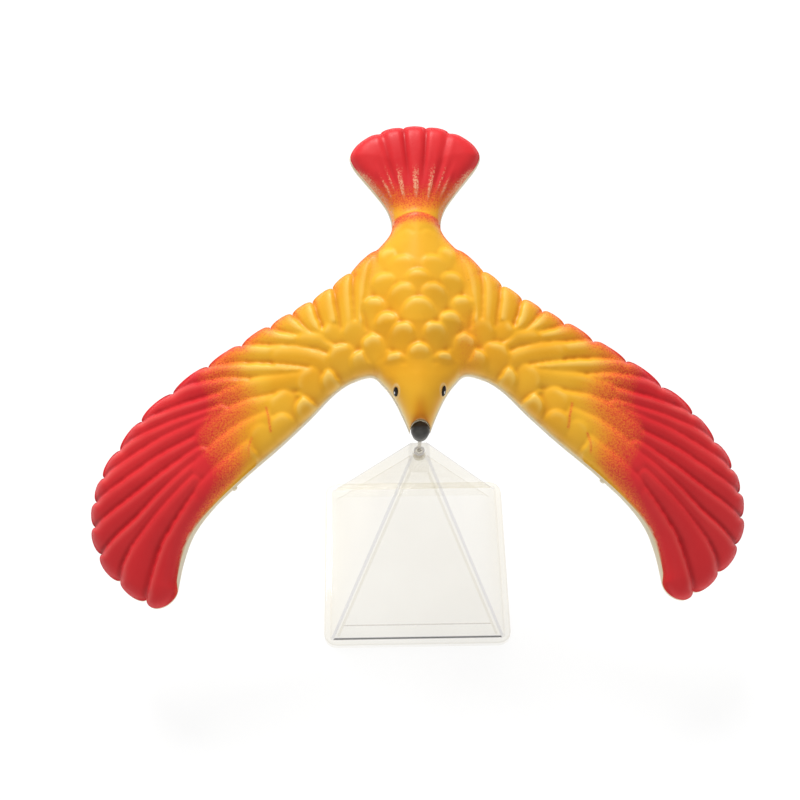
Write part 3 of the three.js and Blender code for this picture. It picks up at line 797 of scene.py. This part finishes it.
def ivory_material():
    m = Nodes("ivory_plastic")
    cloud = m.noise(120, 3.0)
    fine = m.noise(1800, 2.0)
    shade_and_highlight = m.attribute("shade_and_highlight")
    tint = m.mix(m.remap(cloud, 0.35, 0.65), rgb(252, 243, 221), rgb(248, 236, 208))
    # Painted shade that follows the moulded relief
    tint = m.mix(m.remap(shade_and_highlight, 0.0, 0.14, 0.0, 0.4), tint, rgb(206, 194, 158))
    m.set(Base_Color=tint, Roughness=m.remap(fine, 0.3, 0.7, 0.36, 0.5), Specular_IOR_Level=0.45)
    m.bump(fine, 0.15, 0.00004)
    return m.material


def beak_material():
    m = Nodes("beak_lacquer")
    cloud, fine = m.noise(500, 3.0), m.noise(3000, 1.0)
    tint = m.mix(m.remap(cloud, 0.3, 0.7), rgb(46, 45, 44), rgb(72, 70, 66))
    m.set(Base_Color=tint, Roughness=m.remap(fine, 0.3, 0.7, 0.3, 0.46))
    m.bump(cloud, 0.2, 0.00006)
    return m.material


def eye_material():
    m = Nodes("eye_paint")
    fine = m.noise(1500, 2.0)
    tint = m.mix(fine, rgb(14, 12, 12), rgb(34, 24, 20))
    m.set(Base_Color=tint, Roughness=m.remap(fine, 0.3, 0.7, 0.22, 0.36), Specular_IOR_Level=0.25)
    m.bump(fine, 0.1, 0.00002)
    return m.material


def glint_material():
    m = Nodes("eye_highlight_paint")
    fine = m.noise(2500, 2.0)
    tint = m.mix(fine, rgb(250, 250, 250), rgb(226, 230, 240))
    m.set(Base_Color=tint, Roughness=m.remap(fine, 0.3, 0.7, 0.3, 0.42))
    m.bump(fine, 0.1, 0.00002)
    return m.material


def steel_material():
    m = Nodes("polished_steel")
    fine, long = m.noise(900, 3.0), m.noise(150, 2.0)
    tint = m.mix(m.remap(long, 0.3, 0.7), rgb(206, 200, 188), rgb(184, 180, 172))
    m.set(Base_Color=tint, Metallic=1.0, Roughness=m.remap(fine, 0.3, 0.7, 0.18, 0.34))
    m.bump(fine, 0.12, 0.00003)
    return m.material


def clear_material():
    """Faint plastic tinted dark cream, painted shade for the shaded paper seen through it; an edge
    attribute paints shade on the edges for the lines that refraction draws in clear plastic, grey at
    first and nearly black beyond 1, and makes them less clear.
    """
    m = Nodes("clear_plastic")
    haze, fine, thick = m.noise(70, 3.0), m.noise(600, 2.0), m.attribute("thick")
    tint = m.mix(m.remap(haze, 0.3, 0.7), rgb(206, 189, 124), rgb(200, 182, 121))
    tint = m.mix(m.remap(thick, 0, 0.7), tint, rgb(190, 186, 192))
    tint = m.mix(m.remap(thick, 1.1, 1.9), tint, rgb(40, 36, 34))
    alpha = m.math("ADD", m.remap(haze, 0.3, 0.7, 0.185, 0.2), m.math("MULTIPLY", thick, 0.3))
    m.set(Base_Color=tint, Roughness=m.remap(fine, 0.3, 0.7, 0.03, 0.09), Alpha=alpha)
    m.bump(haze, 0.08, 0.0001)
    return m.material


PAINTED, IVORY, BEAK = painted_material(), ivory_material(), beak_material()
EYE, GLINT, STEEL, CLEAR = eye_material(), glint_material(), steel_material(), clear_material()

# ---- Bird ------------------------------------------------------------------------------

shell("feathered_back", TOP_SPACING, TUCK, UPPER_INSET, True, PAINTED, "painted_plastic", ["upper_shell"])
shell("underside", UNDER_SPACING, 0, LOWER_INSET, False, IVORY, "ivory_plastic", ["lower_shell"])


def turned(profile, segments):
    """Points and faces of a solid of revolution about +Z from (radius, z) pairs."""
    angle = np.linspace(0, 2 * math.pi, segments, endpoint=False)
    verts, rings = [], []
    for r, z in profile:
        if r < 1e-6:
            rings.append([len(verts)])
            verts.append((0, 0, z))
        else:
            rings.append(list(range(len(verts), len(verts) + segments)))
            verts += [(r * math.cos(a), r * math.sin(a), z) for a in angle]
    faces = []
    for low, high in zip(rings, rings[1:]):
        for k in range(segments):
            j = (k + 1) % segments
            if len(low) == 1 and len(high) == 1:
                continue
            if len(low) == 1:
                faces.append((low[0], high[j], high[k]))
            elif len(high) == 1:
                faces.append((low[k], low[j], high[0]))
            else:
                faces.append((low[k], low[j], high[j], high[k]))
    return np.array(verts), faces


def arc(radius, centre, start, end, steps):
    """(radius, z) points of a circle about (0, centre) from one angle to another, in degrees."""
    angles = np.radians(np.linspace(start, end, steps))
    return [(max(0.0, radius * math.cos(a)), centre + radius * math.sin(a)) for a in angles]


BEAK_LEAN = np.array(Matrix.Rotation(-math.atan2(BEAK_W, BEAK_N), 3, "X"))


def lean(points):
    return to_row(points @ BEAK_LEAN.T)


beak_profile = [(0, BEAK_BOTTOM), (0.42, BEAK_BOTTOM + 0.05), (0.62, 5.1), (1.04, 6.0), (1.45, 7.0)]
beak_profile += arc(BEAK_RADIUS, math.hypot(BEAK_W, BEAK_N), -28, 90, 22)
verts, faces = turned(beak_profile, 48)
add_mesh("beak", lean(verts), faces, BEAK, "bird", "beak_plastic", replaces=["beak_tip"])

pin_profile = [(0, 0.52), (0.2, 0.56), (PIN_RADIUS - 0.06, 0.78), (PIN_RADIUS, 1.1)]
pin_profile += [(PIN_RADIUS, PIN_TOP), (0, PIN_TOP)]
verts, faces = turned(pin_profile, 28)
add_mesh("pin", lean(verts), faces, STEEL, "bird", "steel", replaces=["pivot_pin"])


def surface_at(u, w):
    """Point and normal of the back at (u, w), in the bird's frame."""
    outline, _, hull = half_outline(0.3, TUCK)

    def n_at(x, y):
        at = np.array([[abs(x), y]])
        depths = edge_distance(at, outline), edge_distance(at, hull)
        return float(top_n(np.array([x]), np.array([y]), *depths)[0])

    h = 0.15
    du = (n_at(u + h, w) - n_at(u - h, w)) / (2 * h)
    dw = (n_at(u, w + h) - n_at(u, w - h)) / (2 * h)
    return Vector((u, w, n_at(u, w))), Vector((-du, -dw, 1)).normalized()


def ellipsoid(radii, rings=14, segments=28):
    verts, faces = turned(arc(1, 0, -90, 90, rings), segments)
    return verts * radii, faces


# The eyes: a flat dome with a highlight, both along the slope of the head
for side, name in ((-1, "left"), (1, "right")):
    place, normal = surface_at(side * EYE_AT[0], EYE_AT[1])
    along = Vector((0.12, 1, -(0.12 * normal.x + normal.y) / normal.z)).normalized()
    axes = np.array([along.cross(normal), along, normal]).T
    glint_u = -0.1 if side > 0 else 0.02
    for piece, radii, shift, material, slot in (
        ("eye", EYE_RADII, (0, 0, -0.04), EYE, "beak_plastic"),
        ("eye_glint", (0.13, 0.32, 0.08), (glint_u, -0.12, 0.21), GLINT, "ivory_plastic"),
    ):
        verts, faces = ellipsoid(radii)
        at = (verts + shift) @ axes.T + np.array(place)
        add_mesh(f"{name}_{piece}", to_row(at), faces, material, "bird", slot)

# Sprue stubs left on the leading edges
for side, name, u, w in ((-1, "left", 34.0, -6.75), (1, "right", 33.6, -6.4)):
    verts, faces = ellipsoid((0.55, 0.36, 0.3), 8, 14)
    turn = np.array(Matrix.Rotation(side * math.radians(-41), 3, "Z"))
    centre = (side * u, w, float(parting(u, w)) - 0.45)
    add_mesh(f"{name}_sprue_stub", to_row(verts @ turn.T + centre), faces, IVORY, "bird", "ivory_plastic")

# ---- Stand -----------------------------------------------------------------------------

CORNER_STEPS = 5
BESIDE = 0.22  # how far from a rounded corner the side's own look begins


def square_ring(half, radius, z):
    """A rounded square, counter-clockwise, with a point on the side next to each end of a corner."""
    points = []
    for k, (sx, sy) in enumerate(((1, -1), (1, 1), (-1, 1), (-1, -1))):
        centre = np.array((sx * (half - radius), sy * (half - radius)))
        angles = np.radians(90 * (k - 1) + np.linspace(0, 90, CORNER_STEPS))
        corner = [centre + radius * np.array((math.cos(a), math.sin(a))) for a in angles]
        before, after = (BESIDE * np.array((-math.sin(a), math.cos(a))) for a in (angles[0], angles[-1]))
        points += [(*p, z) for p in (corner[0] - before, *corner, corner[-1] + after)]
    return points


def round_ring(radius, z):
    count = 4 * (CORNER_STEPS + 2)
    angles = 2 * math.pi * (np.arange(count) + 0.5) / count - math.pi / 2
    return [(radius * math.cos(a), radius * math.sin(a), z) for a in angles]


def loft(rings):
    """Points and faces between the rings, closed by a flat face at each end."""
    verts = [p for ring in rings for p in ring]
    n = len(rings[0])
    faces = []
    for k in range(len(rings) - 1):
        for i in range(n):
            j = (i + 1) % n
            faces.append((k * n + i, k * n + j, (k + 1) * n + j, (k + 1) * n + i))
    faces.append(tuple(reversed(range(n))))
    faces.append(tuple(range((len(rings) - 1) * n, len(rings) * n)))
    return np.array(verts), faces


def outer_half(z):
    return PYRAMID_HALF * (1 - z / PYRAMID_APEX_Z)


WALL_SLOPE = math.atan2(PYRAMID_APEX_Z, PYRAMID_HALF)
INNER_BASE = PYRAMID_HALF - WALL / math.sin(WALL_SLOPE)
INNER_APEX_Z = PYRAMID_APEX_Z * INNER_BASE / PYRAMID_HALF


def inner_half(z):
    return INNER_BASE * (1 - z / INNER_APEX_Z)


def plain(half, radius, z, mark):
    return half, radius, z, mark, mark, mark


# Half side, corner radius, height, and how strongly the corners, the sides and the front side are marked
# with painted shade for the lines that refraction draws
TOP = FLANGE_THICKNESS
FOOT = outer_half(TOP)
INSIDE = -0.48  # the hollow's walls are fainter than the outside
FLANGE_SIDE = -0.4
levels = [(inner_half(CAVITY_TOP_Z), 0.2, CAVITY_TOP_Z, -0.1, INSIDE, INSIDE)]
for z, front in (
    (CAVITY_TOP_Z - 0.3, INSIDE), (28, INSIDE), (14, INSIDE), (3.1, INSIDE),
    (3.0, 0.8), (2.8, 0.8), (2.7, INSIDE), (0.2, INSIDE),
):
    levels.append((inner_half(z), 0.3, z, 0, INSIDE, front))
levels += [
    plain(inner_half(0) + 0.15, 0.4, 0, INSIDE),
    plain(FLANGE_HALF - 0.25, FLANGE_CORNER - 0.2, 0, INSIDE),
    plain(FLANGE_HALF, FLANGE_CORNER, 0.25, FLANGE_SIDE),
    plain(FLANGE_HALF, FLANGE_CORNER, TOP - 0.25, FLANGE_SIDE),
    plain(FLANGE_HALF - 0.08, FLANGE_CORNER, TOP - 0.08, 0.25),
    plain(FLANGE_HALF - 0.25, FLANGE_CORNER - 0.2, TOP, 0),
    plain(FLANGE_HALF - 0.5, FLANGE_CORNER - 0.3, TOP, -0.15),
    plain(FOOT + 0.5, 0.6, TOP, -0.15),
    (FOOT + 0.34, 0.5, TOP, 0.4, 0.2, 2.1),
    (FOOT + 0.1, 0.4, TOP + 0.02, 0.4, 0.2, 2.1),
    (outer_half(TOP + 0.15), 0.35, TOP + 0.15, 0.6, 0, 0),
]
levels += [(outer_half(z), 0.35, z, 0.6, 0, 0) for z in (14, 28, 40, 44.2)]
levels += [(outer_half(PLATFORM_Z - 0.15), 0.35, PLATFORM_Z - 0.15, 0.5, 0.3, 0.3)]
levels += [(outer_half(PLATFORM_Z) - 0.12, 0.3, PLATFORM_Z, 0.5, 0.3, 0.3)]
SOCKET = CUP_RADIUS + 0.2
rings = [square_ring(*level[:3]) for level in levels]
rings += [round_ring(SOCKET, PLATFORM_Z), round_ring(SOCKET, PLATFORM_Z - CUP_HEIGHT - 0.25)]
thick = []
for *_, at_corner, at_side, at_front in levels:
    one = ([at_side] + [at_corner] * CORNER_STEPS + [at_side]) * 4
    one[0] = one[-1] = at_front
    thick += one
thick += [0.2] * (2 * len(rings[0]))
verts, faces = loft(rings)
stand = add_mesh("clear_pyramid", stand_mm(verts), faces, CLEAR, "stand", "clear_plastic",
                 replaces=["stand_pyramid"], thick=thick)
edge_split = stand.modifiers.new("edges", "EDGE_SPLIT")
edge_split.split_angle = math.radians(32)

# The cup stands in the socket; its heights here are from the middle of the ball
hollow = BALL_RADIUS + 0.3
lip = PLATFORM_Z - PIVOT_Z
bottom = lip - CUP_HEIGHT
cup_profile = [(0, bottom), (CUP_RADIUS - 0.12, bottom), (CUP_RADIUS, bottom + 0.12)]
cup_profile += [(CUP_RADIUS, lip - 0.08), (CUP_RADIUS - 0.08, lip)]
cup_profile += arc(hollow, 0, math.degrees(math.asin(lip / hollow)), -90, 10)
verts, faces = turned(cup_profile, 40)
# The cup's rim is marked grey with painted shade
add_mesh("clear_cup", stand_mm(verts + (0, 0, PIVOT_Z)), faces, CLEAR, "cup", "clear_plastic",
         replaces=["apex_cup"], thick=np.where(verts[:, 2] > lip - 0.1, 1.1, 0.1))
verts, faces = turned(arc(BALL_RADIUS, 0, -90, 90, 16), 28)
add_mesh("steel_ball", stand_mm(verts + (0, 0, PIVOT_Z)), faces, STEEL, "ball", "steel",
         replaces=["pin_ball"])

# The part's own slugs stay inside the wing ends
for name in ("left_wing_weight", "right_wing_weight"):
    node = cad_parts[name]
    node.data.materials.clear()
    node.data.materials.append(STEEL)

# ---- Floor, light and camera -------------------------------------------------------------

WHITE = (1, 1, 1, 1)
FLOOR_HALF, FLOOR_Z = 1.6, -0.0002  # metres, as all lengths below
LIGHT_TARGET = (0, 0, 0.05)
CAMERA_AT = (-0.00806, -0.1544, 0.2689)
CAMERA_LENS, CAMERA_SENSOR = 63.945, 36.0  # mm
ELEVATION, ROLL, TURN = math.radians(56), math.radians(0.72), math.radians(-1.8)


def floor():
    """Dark grey that gives off light, so that it comes out as an even white with hardly a shadow."""
    m = Nodes("pale_floor")
    tint = m.mix(m.noise(14, 2.0), rgb(118, 118, 118), rgb(116, 116, 116))
    m.set(Base_Color=tint, Roughness=0.7, Specular_IOR_Level=0.1)
    m.set(Emission_Color=WHITE, Emission_Strength=0.86)
    mesh = bpy.data.meshes.new("floor")
    corners = [(-1, -1), (1, -1), (1, 1), (-1, 1)]
    mesh.from_pydata([(x * FLOOR_HALF, y * FLOOR_HALF, FLOOR_Z) for x, y in corners], [], [(0, 1, 2, 3)])
    mesh.materials.append(m.material)
    obj = bpy.data.objects.new("floor", mesh)
    SCENE.collection.objects.link(obj)


def area_light(name, place, size, power):
    """A round lamp that points at the middle of the bird."""
    data = bpy.data.lights.new(name, "AREA")
    data.shape = "DISK"
    data.size = size
    data.energy = power
    obj = bpy.data.objects.new(name, data)
    obj.location = place
    obj.rotation_mode = "QUATERNION"
    obj.rotation_quaternion = (Vector(LIGHT_TARGET) - Vector(place)).to_track_quat("-Z", "Y")
    SCENE.collection.objects.link(obj)


floor()
area_light("key", (-0.12, 0.4, 0.6), 0.3, 5.0)
area_light("front_fill", (0.1, -0.8, 0.5), 0.8, 0.8)
world = bpy.data.worlds.new("studio")
world.use_nodes = True
background = world.node_tree.nodes["Background"]
background.inputs["Color"].default_value = WHITE
background.inputs["Strength"].default_value = 0.44
SCENE.world = world
SCENE.view_settings.view_transform = "Standard"

back = Vector((0, -math.cos(ELEVATION), math.sin(ELEVATION)))
right = Vector((1, 0, 0))
up = right.cross(-back)
side_axis = math.cos(ROLL) * right + math.sin(ROLL) * up
up_axis = -math.sin(ROLL) * right + math.cos(ROLL) * up
basis = Matrix((side_axis, up_axis, back)).transposed()
camera = bpy.data.objects.new("camera", bpy.data.cameras.new("camera"))
camera.data.lens, camera.data.sensor_width = CAMERA_LENS, CAMERA_SENSOR
camera.data.clip_start, camera.data.clip_end = 0.01, 10.0
camera.rotation_mode = "QUATERNION"
camera.rotation_quaternion = (Matrix.Rotation(TURN, 3, "Z") @ basis).to_quaternion()
camera.location = CAMERA_AT
SCENE.collection.objects.link(camera)
SCENE.camera = camera
